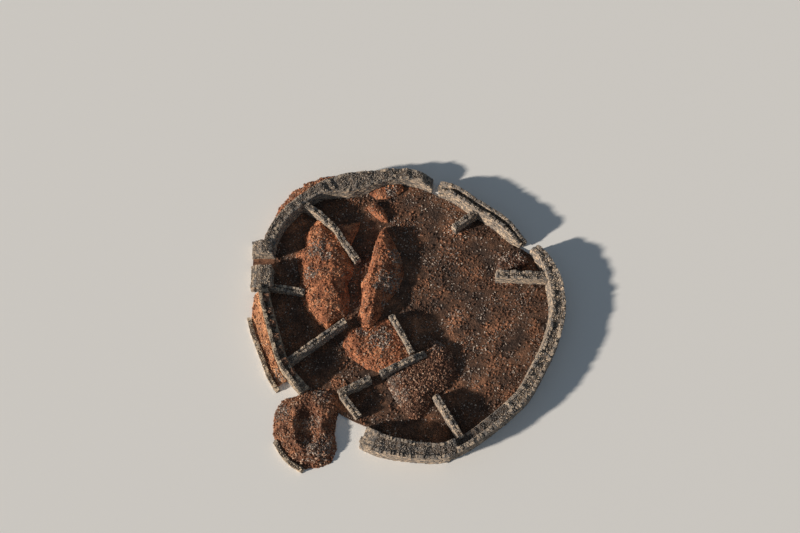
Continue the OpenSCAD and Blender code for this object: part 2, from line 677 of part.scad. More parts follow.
west_gate_north_pier();
west_gate_south_pier();
west_gate_sill();
northwest_wall();
north_wall_west();
north_wall_east();
northeast_wall_north();
northeast_wall_south();
east_wall_north();
east_wall_middle();
east_wall_south();
southeast_walk();
southeast_parapet();
south_wall_east();
south_wall_west();
southwest_wall_south();
southwest_wall_north();
southwest_crest_blocks();
northwest_talus();
west_bank();
west_kerb();
southwest_kerb();
breach_rubble();
northwest_partition();
west_cross_wall();
southwest_partition();
cross_wall_west();
cross_wall_east();
gate_screen_wall();
central_partition();
south_partition();
east_partition();
northeast_partition();
west_mound();
west_mound_spur();
middle_ridge();
earth_platform();
south_mound();
north_heaps();
east_heap();
floor_east();
floor_north();
floor_west();
floor_south();
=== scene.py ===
"""A round dry-stone enclosure, roofless and ruined, seen from the air in low light."""

import json
import bmesh
import bpy
import numpy as np
from math import cos, radians, sin
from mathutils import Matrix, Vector
from mathutils.bvhtree import BVHTree

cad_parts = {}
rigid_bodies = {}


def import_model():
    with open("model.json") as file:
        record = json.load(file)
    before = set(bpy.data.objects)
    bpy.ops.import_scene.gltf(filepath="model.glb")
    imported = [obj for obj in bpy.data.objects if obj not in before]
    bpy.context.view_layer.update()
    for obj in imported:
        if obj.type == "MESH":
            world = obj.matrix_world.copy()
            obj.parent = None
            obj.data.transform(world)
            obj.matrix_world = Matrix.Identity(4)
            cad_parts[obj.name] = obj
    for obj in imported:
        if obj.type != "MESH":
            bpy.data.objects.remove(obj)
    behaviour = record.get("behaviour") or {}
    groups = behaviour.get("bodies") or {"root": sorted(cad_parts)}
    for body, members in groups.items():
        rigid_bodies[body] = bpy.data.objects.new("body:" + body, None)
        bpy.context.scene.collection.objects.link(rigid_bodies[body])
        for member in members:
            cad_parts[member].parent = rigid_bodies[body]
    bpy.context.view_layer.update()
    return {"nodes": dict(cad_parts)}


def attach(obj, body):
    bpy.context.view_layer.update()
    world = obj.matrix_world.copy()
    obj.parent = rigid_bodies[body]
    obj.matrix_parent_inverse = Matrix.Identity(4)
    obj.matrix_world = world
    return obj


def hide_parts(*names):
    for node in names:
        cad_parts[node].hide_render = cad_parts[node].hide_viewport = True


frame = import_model()
nodes = frame["nodes"]
scene = bpy.context.scene

# The view
# From the south and high above, twenty degrees off straight down, with the whole ring near the
# middle of the frame.
camera = bpy.data.objects.new("camera", bpy.data.cameras.new("camera"))
scene.collection.objects.link(camera)
camera.data.lens, camera.data.sensor_width = 45, 36
camera.data.clip_end = 1000
away, lean = 115.0, radians(20)
aim = Vector((-1.47, 5.71, 0))
camera.location = aim + away * Vector((0, -sin(lean), cos(lean)))
camera.rotation_euler = (aim - camera.location).to_track_quat("-Z", "Y").to_euler()
scene.camera = camera


# Ring wall
# Dry stone, two battered facings of rough blocks laid in courses with no mortar and tied by a core
# of rubble. Its top is broken, so the core shows between the facings' highest stones. The southwest
# stretch faces the sun and its stones are painted paler, as painted sunlight, and its inner side has
# come down.
def add(tree, kind, values=(), **settings):
    """A node in tree, with its settings, and each input in values either set or linked."""
    made = tree.nodes.new(kind)
    for setting, value in settings.items():
        setattr(made, setting, value)
    for name, value in dict(values).items():
        if isinstance(value, bpy.types.NodeSocket):
            tree.links.new(value, made.inputs[name])
        else:
            made.inputs[name].default_value = value
    return made


def number_from(tree, operation, *values):
    """A Math node's result."""
    return add(tree, "ShaderNodeMath", enumerate(values), operation=operation).outputs[0]


def spread_from(tree, value, low, high, to_low=0.0, to_high=1.0):
    """The value taken from low to high, made to run from to_low to to_high and no further."""
    values = {"Value": value, "From Min": low, "From Max": high, "To Min": to_low, "To Max": to_high}
    return add(tree, "ShaderNodeMapRange", values).outputs[0]


# How its stone and the earth in its joints have weathered
def weathering_group():
    """Broad patches, fine grain, crumbs and the relief of all three, for both stone and earth."""
    group = bpy.data.node_groups.new("weathering", "ShaderNodeTree")
    for name, size in (("Patch size", 1.0), ("Grain size", 0.03), ("Crumb size", 0.12)):
        socket = group.interface.new_socket(name, in_out="INPUT", socket_type="NodeSocketFloat")
        socket.default_value = size
    for name in ("Patches", "Grain", "Crumbs", "Height"):
        group.interface.new_socket(name, in_out="OUTPUT", socket_type="NodeSocketFloat")
    given = group.nodes.new("NodeGroupInput").outputs
    out = group.nodes.new("NodeGroupOutput")
    place = group.nodes.new("ShaderNodeTexCoord").outputs["Object"]

    def noise(size, detail, roughness):
        fineness = number_from(group, "DIVIDE", 1.0, given[size])
        values = {"Vector": place, "Scale": fineness, "Detail": detail, "Roughness": roughness}
        return add(group, "ShaderNodeTexNoise", values).outputs["Fac"]

    patches, grain = noise("Patch size", 7.0, 0.62), noise("Grain size", 4.0, 0.65)
    fineness = number_from(group, "DIVIDE", 1.0, given["Crumb size"])
    cells = add(group, "ShaderNodeTexVoronoi", {"Vector": place, "Scale": fineness})
    crumbs = spread_from(group, cells.outputs["Distance"], 0.75, 0.1)
    height = number_from(group, "MULTIPLY_ADD", patches, grain, patches)
    height = number_from(group, "MULTIPLY_ADD", crumbs, 0.4, height)
    for name, value in zip(("Patches", "Grain", "Crumbs", "Height"), (patches, grain, crumbs, height)):
        group.links.new(value, out.inputs[name])
    return group


weathering = weathering_group()


def new_surface(name, patch_size, grain_size, crumb_size):
    """A new material, its tree, its shader and the weathering in it."""
    material = bpy.data.materials.new(name)
    material.use_nodes = True
    tree = material.node_tree
    worn = add(tree, "ShaderNodeGroup", node_tree=weathering)
    sizes = (("Patch size", patch_size), ("Grain size", grain_size), ("Crumb size", crumb_size))
    for socket, size in sizes:
        worn.inputs[socket].default_value = size
    return material, tree, tree.nodes["Principled BSDF"], worn.outputs


def tones(tree, value, colours, low=0.3, high=0.7):
    """A ramp through linear colours, spread evenly from low to high."""
    ramp = add(tree, "ShaderNodeValToRGB", {"Fac": value})
    stops = ramp.color_ramp.elements
    while len(stops) < len(colours):
        stops.new(0.5)
    for k, (stop, colour) in enumerate(zip(stops, colours)):
        stop.position = low + (high - low) * k / (len(colours) - 1)
        stop.color = (*colour, 1)
    return ramp.outputs["Color"]


def shaded(tree, colour, level):
    """The colour times the level."""
    mix = add(tree, "ShaderNodeMix", data_type="RGBA", blend_type="MULTIPLY")
    mix.inputs[0].default_value = 1.0
    tree.links.new(colour, mix.inputs[6])
    tree.links.new(level, mix.inputs[7])
    return mix.outputs[2]


def finish_surface(tree, surface, colour, worn, relief, least_rough):
    """Colour, a dull finish and the relief, in metres, on a material's shader."""
    tree.links.new(colour, surface.inputs["Base Color"])
    dull = spread_from(tree, worn["Grain"], 0.0, 1.0, least_rough, 1.0)
    tree.links.new(dull, surface.inputs["Roughness"])
    bump = add(tree, "ShaderNodeBump", {"Height": worn["Height"], "Distance": relief})
    tree.links.new(bump.outputs["Normal"], surface.inputs["Normal"])
    surface.inputs["Specular IOR Level"].default_value = 0.2


def stone_material(name, colours, stain, stain_from):
    """Each stone has its own tone from its tint. Stain gathers in patches over all of them."""
    material, tree, surface, worn = new_surface(name, patch_size=0.7, grain_size=0.05, crumb_size=0.06)
    tint = add(tree, "ShaderNodeAttribute", attribute_name="tint").outputs["Fac"]
    stained = spread_from(tree, worn["Patches"], stain_from, stain_from + 0.16, 0.0, 0.75)
    mix = add(tree, "ShaderNodeMix", data_type="RGBA")
    tree.links.new(stained, mix.inputs[0])
    tree.links.new(tones(tree, tint, colours, low=0.0, high=1.0), mix.inputs[6])
    mix.inputs[7].default_value = (*stain, 1)
    colour = shaded(tree, mix.outputs[2], spread_from(tree, worn["Grain"], 0.3, 0.7, 0.7, 1.3))
    finish_surface(tree, surface, colour, worn, relief=0.012, least_rough=0.75)
    return material


def earth_material(name, colours, patch_size, grain_size, relief, crumb_size=0.16):
    """Earth in patches of these colours, darker between its grains, with painted shade in the crevices
    between its crumbs.
    """
    material, tree, surface, worn = new_surface(name, patch_size, grain_size, crumb_size)
    colour = tones(tree, worn["Patches"], colours)
    colour = shaded(tree, colour, spread_from(tree, worn["Grain"], 0.3, 0.7, 0.6, 1.4))
    # painted shade: darker in the crevices between the crumbs
    colour = shaded(tree, colour, spread_from(tree, worn["Crumbs"], 0.1, 0.8, 0.6, 1.2))
    finish_surface(tree, surface, colour, worn, relief, least_rough=0.85)
    return material


stone_tones = (
    (0.12, 0.112, 0.106),
    (0.22, 0.195, 0.175),
    (0.32, 0.265, 0.215),
    (0.44, 0.35, 0.265),
    (0.66, 0.51, 0.37),
)
dry_stone = stone_material("dry_stone", stone_tones, stain=(0.54, 0.40, 0.27), stain_from=0.62)
# a paler copy of the stone for walls that face the lamp: painted sunlight
painted_sunlit_tones = ((0.20, 0.17, 0.14), (0.34, 0.275, 0.21), (0.49, 0.385, 0.275), (0.71, 0.55, 0.395))
bleached_stone = stone_material("bleached_stone", painted_sunlit_tones, stain=(0.60, 0.45, 0.30), stain_from=0.6)
joint_colours = ((0.05, 0.04, 0.033), (0.10, 0.075, 0.058), (0.18, 0.13, 0.095))
joint_earth = earth_material(
    "joint_earth", joint_colours, patch_size=0.5, grain_size=0.05, relief=0.02, crumb_size=0.06
)


def clothe(name, material):
    """A CAD node keeps its shape and takes this material."""
    nodes[name].data.materials.clear()
    nodes[name].data.materials.append(material)


# The shapes of its stones: squared for the facings, rough for the rubble between them
def stone_shapes(name, count, seed, squared):
    """A collection of broken stones, each the hull of a few points in a unit box. Squared ones have
    their points in pairs at the box's corners, and rough ones have them all round."""
    rng = np.random.default_rng(seed)
    shapes = bpy.data.collections.new(name)
    signs = np.array([(x, y, z) for x in (-1, 1) for y in (-1, 1) for z in (-1, 1)])
    deepest_chip, rough_points, boxiness = 0.34, 13, 3
    for k in range(count):
        if squared:
            chipped = rng.uniform(0.0, deepest_chip, (16, 3)) * rng.integers(0, 2, (16, 3))
            points = np.concatenate([signs, signs]) * (1 - chipped)
        else:
            points = rng.normal(size=(rough_points, 3))
            reach = (np.abs(points) ** boxiness).sum(axis=1, keepdims=True) ** (1 / boxiness)
            points /= reach
        points = (points - points.min(axis=0)) / np.ptp(points, axis=0) - 0.5
        hull = bmesh.new()
        for point in points:
            hull.verts.new(point)
        made = bmesh.ops.convex_hull(hull, input=hull.verts)
        inside = list({*made["geom_interior"], *made["geom_unused"]})
        bmesh.ops.delete(hull, geom=inside, context="VERTS")
        bmesh.ops.recalc_face_normals(hull, faces=hull.faces)
        mesh = bpy.data.meshes.new(f"{name}_{k}")
        hull.to_mesh(mesh)
        hull.free()
        shapes.objects.link(bpy.data.objects.new(mesh.name, mesh))
    return shapes


squared_stones = stone_shapes("squared_stones", count=9, seed=11, squared=True)
rough_stones = stone_shapes("rough_stones", count=9, seed=12, squared=False)


# How the stones are laid, and how rubble comes to lie on top
def tree_with(name, inputs):
    """A Geometry Nodes tree with these named inputs: the tree, what it is given and its output."""
    tree = bpy.data.node_groups.new(name, "GeometryNodeTree")
    tree.interface.new_socket("Geometry", in_out="OUTPUT", socket_type="NodeSocketGeometry")
    for label, kind, value in inputs:
        socket_type = "NodeSocket" + kind
        socket = tree.interface.new_socket(label, in_out="INPUT", socket_type=socket_type)
        if value is not None:
            socket.default_value = value
    return tree, tree.nodes.new("NodeGroupInput").outputs, tree.nodes.new("NodeGroupOutput")


def vector_from(tree, operation, *values):
    """A Vector Math node's result."""
    return add(tree, "ShaderNodeVectorMath", enumerate(values), operation=operation).outputs[0]


def times(tree, vector, factor):
    """The vector made longer by a number."""
    return add(tree, "ShaderNodeVectorMath", {0: vector, "Scale": factor}, operation="SCALE").outputs[0]


def any_between(tree, low, high, seed, offset):
    """A random number, or a random vector, with a seed of its own for this use."""
    vector = isinstance(low, tuple)
    kind = "FLOAT_VECTOR" if vector else "FLOAT"
    made = add(tree, "FunctionNodeRandomValue", data_type=kind)
    for socket, value in zip(made.inputs[0:2] if vector else made.inputs[2:4], (low, high)):
        if isinstance(value, bpy.types.NodeSocket):
            tree.links.new(value, socket)
        else:
            socket.default_value = value
    tree.links.new(number_from(tree, "ADD", seed, float(offset)), made.inputs["Seed"])
    return made.outputs[0 if vector else 1]


def place_stones(tree, points, shapes, rotation, scale, seed, palest=1.0):
    """A random shape at each point, with a tint of its own up to the palest, made real."""
    kept_apart = {"Collection": shapes, "Separate Children": True, "Reset Children": True}
    chosen = add(tree, "GeometryNodeCollectionInfo", kept_apart)
    # any number picks a shape, as a number past the last shape starts over at the first
    pick = add(tree, "FunctionNodeRandomValue", {"Seed": seed}, data_type="INT")
    pick.inputs[4].default_value, pick.inputs[5].default_value = 0, 999
    laid = add(
        tree,
        "GeometryNodeInstanceOnPoints",
        {
            "Points": points,
            "Instance": chosen.outputs[0],
            "Pick Instance": True,
            "Instance Index": pick.outputs[2],
            "Rotation": rotation,
            "Scale": scale,
        },
    )
    tint = any_between(tree, 0.0, palest, seed, 1)
    tinted = add(
        tree,
        "GeometryNodeStoreNamedAttribute",
        {"Geometry": laid.outputs["Instances"], "Name": "tint", "Value": tint},
        data_type="FLOAT",
        domain="INSTANCE",
    )
    real = add(tree, "GeometryNodeRealizeInstances", {"Geometry": tinted.outputs["Geometry"]})
    return real.outputs["Geometry"]


def finish_stones(tree, stones, material, out):
    """Stones go no lower than the ground, take their material and leave the tree."""
    place = tree.nodes.new("GeometryNodeInputPosition").outputs[0]
    above_ground = vector_from(tree, "MAXIMUM", place, (-1000.0, -1000.0, 0.0))
    rested = add(tree, "GeometryNodeSetPosition", {"Geometry": stones, "Position": above_ground})
    finished = add(tree, "GeometryNodeSetMaterial", {"Geometry": rested.outputs[0], "Material": material})
    tree.links.new(finished.outputs["Geometry"], out.inputs["Geometry"])


def scatter_tree():
    """Loose stones over whatever faces up: strewn in patches, and thick within the spot. Bare is
    how full the ground between patches is, Strewn how full all of it is, and Steepest the least
    upward part of a face's normal. Sunk is the part of a stone's height that lies below its bed."""
    tree, given, out = tree_with(
        "scattered_stones",
        (
            ("Geometry", "Geometry", None),
            ("Shapes", "Collection", None),
            ("Spacing", "Float", 0.2),
            ("Density", "Float", 30.0),
            ("Smallest", "Float", 0.14),
            ("Largest", "Float", 0.3),
            ("Sunk", "Float", 0.35),
            ("Steepest", "Float", 0.6),
            ("Patch size", "Float", 1.5),
            ("Bare", "Float", 0.0),
            ("Strewn", "Float", 1.0),
            ("Spot", "Vector", (0.0, 0.0, 0.0)),
            ("Spot size", "Float", 0.01),
            ("Palest", "Float", 1.0),
            ("Seed", "Int", 1),
            ("Stone", "Material", None),
        ),
    )
    seed = given["Seed"]
    # how full each place is
    noise = {"W": seed, "Scale": number_from(tree, "DIVIDE", 1.0, given["Patch size"]), "Detail": 2.0}
    patches = add(tree, "ShaderNodeTexNoise", noise, noise_dimensions="4D").outputs[0]
    bare_to_full = {0: given["Bare"], 2: 1.0, 3: spread_from(tree, patches, 0.44, 0.56)}
    patchy = add(tree, "ShaderNodeMix", bare_to_full).outputs[0]
    patchy = number_from(tree, "MULTIPLY", patchy, given["Strewn"])
    # near the spot, whose edge wanders with the patches
    place = tree.nodes.new("GeometryNodeInputPosition").outputs[0]
    apart = vector_from(tree, "SUBTRACT", place, given["Spot"])
    apart = vector_from(tree, "MULTIPLY", apart, (1.0, 1.0, 0.0))
    apart = add(tree, "ShaderNodeVectorMath", {0: apart}, operation="LENGTH").outputs["Value"]
    edge = number_from(tree, "MULTIPLY", patches, 2.0)
    edge = number_from(tree, "MULTIPLY", edge, given["Spot size"])
    within = spread_from(tree, apart, edge, number_from(tree, "MULTIPLY", edge, 0.6))
    share = number_from(tree, "MAXIMUM", patchy, within)
    # where stones lie
    normal = tree.nodes.new("GeometryNodeInputNormal").outputs[0]
    facing_up = add(tree, "ShaderNodeSeparateXYZ", {0: normal}).outputs["Z"]
    compared = {0: facing_up, 1: given["Steepest"]}
    up = add(tree, "FunctionNodeCompare", compared, data_type="FLOAT", operation="GREATER_THAN")
    lying = add(
        tree,
        "GeometryNodeDistributePointsOnFaces",
        {
            "Mesh": given["Geometry"],
            "Selection": up.outputs[0],
            "Distance Min": given["Spacing"],
            "Density Max": given["Density"],
            "Density Factor": share,
            "Seed": seed,
        },
        distribute_method="POISSON",
    ).outputs["Points"]
    # how big each is, how it is turned, and how deep it has sunk
    size = any_between(tree, given["Smallest"], given["Largest"], seed, 2)
    scale = times(tree, any_between(tree, (0.85, 0.6, 0.45), (1.35, 1.0, 0.85), seed, 3), size)
    askew = any_between(tree, (-0.4, -0.4, 0.0), (0.4, 0.4, 6.28), seed, 4)
    turn = add(tree, "FunctionNodeEulerToRotation", {0: askew}).outputs[0]
    thick = add(tree, "ShaderNodeSeparateXYZ", {0: scale}).outputs["Z"]
    lift = number_from(tree, "MULTIPLY", thick, number_from(tree, "SUBTRACT", 0.5, given["Sunk"]))
    up_by = add(tree, "ShaderNodeCombineXYZ", {"Z": lift}).outputs[0]
    seated = add(tree, "GeometryNodeSetPosition", {"Geometry": lying, "Offset": up_by}).outputs[0]
    stones = place_stones(tree, seated, given["Shapes"], turn, scale, seed, given["Palest"])
    finish_stones(tree, stones, given["Stone"], out)
    return tree


scattered_stones = scatter_tree()


def wall_tree():
    """Facing stones along the course lines, each square to the face, and rubble over the top."""
    tree, given, out = tree_with(
        "dry_stone_wall",
        (
            ("Courses", "Geometry", None),
            ("Wall", "Object", None),
            ("Squared stones", "Collection", None),
            ("Rough stones", "Collection", None),
            ("Stone length", "Float", 0.29),
            ("Stone height", "Float", 0.15),
            ("Stone depth", "Float", 0.27),
            ("Proud", "Float", 0.035),
            ("Core palest", "Float", 0.85),
            ("Seed", "Int", 1),
            ("Stone", "Material", None),
        ),
    )
    seed = given["Seed"]
    # one point for each facing stone
    line = add(tree, "GeometryNodeMeshToCurve", {"Mesh": given["Courses"]}).outputs[0]
    a_stone_apart = {"Curve": line, "Length": given["Stone length"]}
    line = add(tree, "GeometryNodeResampleCurve", a_stone_apart, mode="LENGTH").outputs[0]
    beds = add(tree, "GeometryNodeCurveToPoints", {"Curve": line}, mode="EVALUATED").outputs["Points"]
    named = {"Name": "outward"}
    stored = add(tree, "GeometryNodeInputNamedAttribute", named, data_type="FLOAT_VECTOR")
    outward = vector_from(tree, "NORMALIZE", stored.outputs["Attribute"])
    # its size, how far it stands out, and how it is turned
    sizes = {"X": given["Stone length"], "Y": given["Stone depth"], "Z": given["Stone height"]}
    usual = add(tree, "ShaderNodeCombineXYZ", sizes).outputs[0]
    own = any_between(tree, (0.78, 0.85, 0.84), (1.28, 1.15, 1.14), seed, 5)
    scale = vector_from(tree, "MULTIPLY", own, usual)
    depth = add(tree, "ShaderNodeSeparateXYZ", {0: scale}).outputs["Y"]
    half_in = number_from(tree, "MULTIPLY", depth, -0.5)
    proud = any_between(tree, 0.2, 1.8, seed, 6)
    stands_out = number_from(tree, "MULTIPLY_ADD", proud, given["Proud"], half_in)
    stray = any_between(tree, (-0.02, -0.02, -0.02), (0.02, 0.02, 0.02), seed, 7)
    shift = vector_from(tree, "ADD", times(tree, outward, stands_out), stray)
    facing_out = {"Vector": outward}
    square = add(tree, "FunctionNodeAlignRotationToVector", facing_out, axis="Y", pivot_axis="Z")
    askew = any_between(tree, (-0.07, -0.09, -0.1), (0.07, 0.09, 0.1), seed, 8)
    askew = add(tree, "FunctionNodeEulerToRotation", {0: askew}).outputs[0]
    both = {0: square.outputs[0], 1: askew}
    turn = add(tree, "FunctionNodeRotateRotation", both, rotation_space="LOCAL").outputs[0]
    seated = add(tree, "GeometryNodeSetPosition", {"Geometry": beds, "Offset": shift}).outputs[0]
    facing = place_stones(tree, seated, given["Squared stones"], turn, scale, seed)
    # the rubble core, where it is open to the sky
    core = add(tree, "GeometryNodeGroup", node_tree=scattered_stones)
    top = add(tree, "GeometryNodeObjectInfo", {"Object": given["Wall"]}).outputs["Geometry"]
    linked = {
        "Geometry": top,
        "Shapes": given["Rough stones"],
        "Palest": given["Core palest"],
        "Seed": seed,
        "Stone": given["Stone"],
    }
    for name, value in linked.items():
        tree.links.new(value, core.inputs[name])
    rubble = {
        "Spacing": 0.13,
        "Density": 160.0,
        "Smallest": 0.1,
        "Largest": 0.21,
        "Sunk": 0.4,
        "Steepest": 0.45,
    }
    for name, value in rubble.items():
        core.inputs[name].default_value = value
    whole = add(tree, "GeometryNodeJoinGeometry")
    tree.links.new(facing, whole.inputs[0])
    tree.links.new(core.outputs[0], whole.inputs[0])
    finish_stones(tree, whole.outputs[0], given["Stone"], out)
    return tree


dry_stone_wall = wall_tree()


def grown(name, mesh, tree, **values):
    """The plain piece that a tree makes from a mesh. A value is named for its input, with _ for a
    space."""
    piece = bpy.data.objects.new(name, mesh)
    scene.collection.objects.link(piece)
    modifier = piece.modifiers.new(tree.name, "NODES")
    modifier.node_group = tree
    for socket in tree.interface.items_tree:
        key = socket.name.replace(" ", "_").lower()
        if socket.in_out == "INPUT" and key in values:
            modifier[socket.identifier] = values[key]
    bpy.context.view_layer.update()
    evaluated = piece.evaluated_get(bpy.context.evaluated_depsgraph_get())
    made = bpy.data.meshes.new_from_object(evaluated)
    piece.modifiers.clear()
    piece.data, made.name = made, name
    return piece


# Where the courses run, read off the faces of the CAD's own walls
def corners_of(node):
    """The node's triangles as an array of three corners each."""
    mesh = nodes[node].data
    mesh.calc_loop_triangles()
    place = np.empty(len(mesh.vertices) * 3)
    mesh.vertices.foreach_get("co", place)
    index = np.empty(len(mesh.loop_triangles) * 3, dtype=np.int64)
    mesh.loop_triangles.foreach_get("vertices", index)
    return place.reshape(-1, 3)[index].reshape(-1, 3, 3)


solids = {name: corners_of(name) for name in nodes}
skins, boxes = {}, {}
for name, corners in solids.items():
    points = corners.reshape(-1, 3)
    triangles = np.arange(len(points)).reshape(-1, 3)
    skins[name] = BVHTree.FromPolygons(points.tolist(), triangles.tolist())
    boxes[name] = points.min(axis=0), points.max(axis=0)


def buried(point, but):
    """Whether a point lies inside another node, so that a stone there would never be seen."""
    nearly_up, just_above = Vector((0.013, 0.007, 1)), Vector((0, 0, 0.0004))
    for name, (low, high) in boxes.items():
        if name == but or not all(low[k] < point[k] < high[k] for k in range(3)):
            continue
        crossings, start = 0, Vector(point)
        while True:
            hit = skins[name].ray_cast(start, nearly_up)[0]
            if hit is None:
                break
            crossings, start = crossings + 1, hit + just_above
        if crossings % 2:
            return True
    return False


def level_links(node, height):
    """The node's outline at a height, anticlockwise, as {start: (start, end, outward)}."""
    corners = solids[node]
    normals = np.cross(corners[:, 1] - corners[:, 0], corners[:, 2] - corners[:, 0])
    normals /= np.linalg.norm(normals, axis=1, keepdims=True) + 1e-12
    too_flat, too_short = 0.85, 0.001
    after = {}
    for triangle, normal in zip(corners, normals):
        above = triangle[:, 2] > height
        if above.all() or not above.any() or abs(normal[2]) > too_flat:
            continue
        ends = []
        for a, b in ((0, 1), (1, 2), (2, 0)):
            if above[a] != above[b]:
                share = (height - triangle[a, 2]) / (triangle[b, 2] - triangle[a, 2])
                ends.append(triangle[a] + (triangle[b] - triangle[a]) * share)
        out = normal[:2] / np.linalg.norm(normal[:2])
        if (ends[1] - ends[0])[:2] @ (-out[1], out[0]) < 0:
            ends.reverse()
        if np.linalg.norm(ends[1] - ends[0]) > too_short:
            after[tuple(np.round(ends[0][:2], 3))] = (ends[0], ends[1], out)
    return after


def level_runs(node, height):
    """The node's outline at a height as runs of (point, outward) from one corner to the next."""
    after = level_links(node, height)
    straight_on = 0.8
    runs = []
    while after:
        # back to where a run begins, so that none is cut in two by the order of the triangles
        first = next(iter(after))
        ending = {tuple(np.round(link[1][:2], 3)): key for key, link in after.items()}
        seen = {first}
        while first in ending and ending[first] not in seen:
            first = ending[first]
            seen.add(first)
        run, key = [], first
        while key in after:
            start, end, out = after.pop(key)
            if run and run[-1][1] @ out < straight_on:
                run.append((start, run[-1][1]))
                runs.append(run)
                run = []
            run.append((start, out))
            key = tuple(np.round(end[:2], 3))
        run.append((end, out))
        runs.append(run)
    return runs


def stations(run, length, rng):
    """Places along a run as (point, outward), about half a stone in from both ends. A run that is
    much shorter than a stone has none."""
    shortest, apart = 0.6 * length, 0.3
    place = np.array([point for point, _ in run])
    steps = np.linalg.norm(np.diff(place[:, :2], axis=0), axis=1)
    along = np.concatenate([[0], np.cumsum(steps)])
    whole = along[-1]
    if whole < shortest:
        return []
    margin = length * rng.uniform(0.3, 0.55)
    stops = [whole / 2]
    if whole > 2 * margin + 0.02:
        stops = np.linspace(margin, whole - margin, max(2, int(whole / apart)))
    found = []
    for stop in stops:
        at = min(len(run) - 2, max(0, np.searchsorted(along, stop) - 1))
        share = min(1, (stop - along[at]) / max(1e-6, along[at + 1] - along[at]))
        found.append((place[at] + (place[at + 1] - place[at]) * share, run[at][1]))
    return found


def course_lines(node, course, length, rng):
    """A mesh of the lines on which each course's facing stones lie, with the way out at its points."""
    low, high = boxes[node]
    before_face = 0.1
    points, outward, edges = [], [], []
    for height in np.arange(low[2] + course / 2, high[2] - course * 0.35, course):
        for run in level_runs(node, height):
            before = None
            for here, out in stations(run, length, rng):
                x, y = here[:2] + out * before_face
                if buried((x, y, height), node):
                    before = None
                    continue
                points.append((here[0], here[1], height))
                outward.append((out[0], out[1], 0))
                if before is not None:
                    edges.append((before, len(points) - 1))
                before = len(points) - 1
    mesh = bpy.data.meshes.new(f"{node}_courses")
    mesh.from_pydata(points, edges, [])
    ways = mesh.attributes.new("outward", "FLOAT_VECTOR", "POINT")
    ways.data.foreach_set("vector", np.array(outward).ravel())
    return mesh


# The ring wall itself, one length after another
def lay_wall(node, seed, length, course, depth, stone=dry_stone, core_palest=0.85):
    """Dresses a wall's node with facing stones of this length, course and depth, and its top with
    rubble, of which the palest tone is given."""
    clothe(node, joint_earth)
    piece = grown(
        f"{node}_stones",
        course_lines(node, course, length, np.random.default_rng(seed)),
        dry_stone_wall,
        wall=nodes[node],
        squared_stones=squared_stones,
        rough_stones=rough_stones,
        stone_length=length,
        stone_height=course,
        stone_depth=depth,
        core_palest=core_palest,
        seed=seed,
        stone=stone,
    )
    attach(piece, "root")


ring_stone = {"length": 0.29, "course": 0.15, "depth": 0.27}
# each wall with the palest tone of the rubble on its top; the lower tones are painted shade, where the
# core lies in shade behind the facings and nearby walls
ring_walls_with_core_shade = {
    "northwest_wall": 0.6,
    "north_wall_west": 0.6,
    "north_wall_east": 0.6,
    "northeast_wall_north": 0.8,
    "northeast_wall_south": 0.8,
    "east_wall_north": 1.0,
    "east_wall_middle": 1.0,
    "east_wall_south": 1.0,
    # darkest of all, as painted shade of the parapet and the south wall
    "southeast_walk": 0.15,
    "southeast_parapet": 0.8,
    "south_wall_east": 0.55,
    "south_wall_west": 0.55,
    "southwest_wall_south": 0.25,
    "southwest_wall_north": 0.25,
}
for k, (name, palest) in enumerate(ring_walls_with_core_shade.items()):
    # walls that face the sun take the paler stone, as painted sunlight
    stone = bleached_stone if name.startswith("southwest") else dry_stone
    lay_wall(name, seed=100 + k, **ring_stone, stone=stone, core_palest=palest)

# West gate
# Two piers of larger blocks at the ends of the ring, with the passage between them. The sill is
# rammed earth, trodden smooth.
for k, name in enumerate(("west_gate_north_pier", "west_gate_south_pier")):
    lay_wall(name, seed=130 + k, length=0.36, course=0.18, depth=0.27)
gate_colours = ((0.10, 0.05, 0.034), (0.22, 0.11, 0.068), (0.36, 0.18, 0.105))
gate_earth = earth_material("gate_earth", gate_colours, patch_size=0.6, grain_size=0.06, relief=0.03)
clothe("west_gate_sill", gate_earth)

# Blocks behind the southwest facing
# What is left standing of the wall's inner side, in short stacks with the core gone between them.
# Earth has stained them.
stained_tones = ((0.07, 0.04, 0.03), (0.18, 0.095, 0.062), (0.31, 0.175, 0.115), (0.48, 0.33, 0.235))
stained_stone = stone_material(
    "earth_stained_stone", stained_tones, stain=(0.36, 0.16, 0.085), stain_from=0.5
)
crest_block = {"length": 0.3, "course": 0.15, "depth": 0.27}
lay_wall("southwest_crest_blocks", seed=140, **crest_block, stone=stained_stone)

# Kerb walls of the outer terrace
# Low dry-stone walls of one or two courses outside the ring, which hold earth against its foot.
# Their stones are painted as pale as the southwest stretch, as painted sunlight on faces turned to the
# lamp.
for k, name in enumerate(("west_kerb", "southwest_kerb")):
    lay_wall(name, seed=150 + k, length=0.32, course=0.15, depth=0.27, stone=bleached_stone)

# Walls inside the ring
# Thinner dry-stone walls that part the courts, built up against the ring without a bond. Their
# stones are a little smaller.
partitions = (
    "northwest_partition",
    "west_cross_wall",
    "southwest_partition",
    "cross_wall_west",
    "cross_wall_east",
    "gate_screen_wall",
    "central_partition",
    "south_partition",
    "east_partition",
    "northeast_partition",
)
for k, name in enumerate(partitions):
    lay_wall(name, seed=160 + k, length=0.27, course=0.15, depth=0.22)


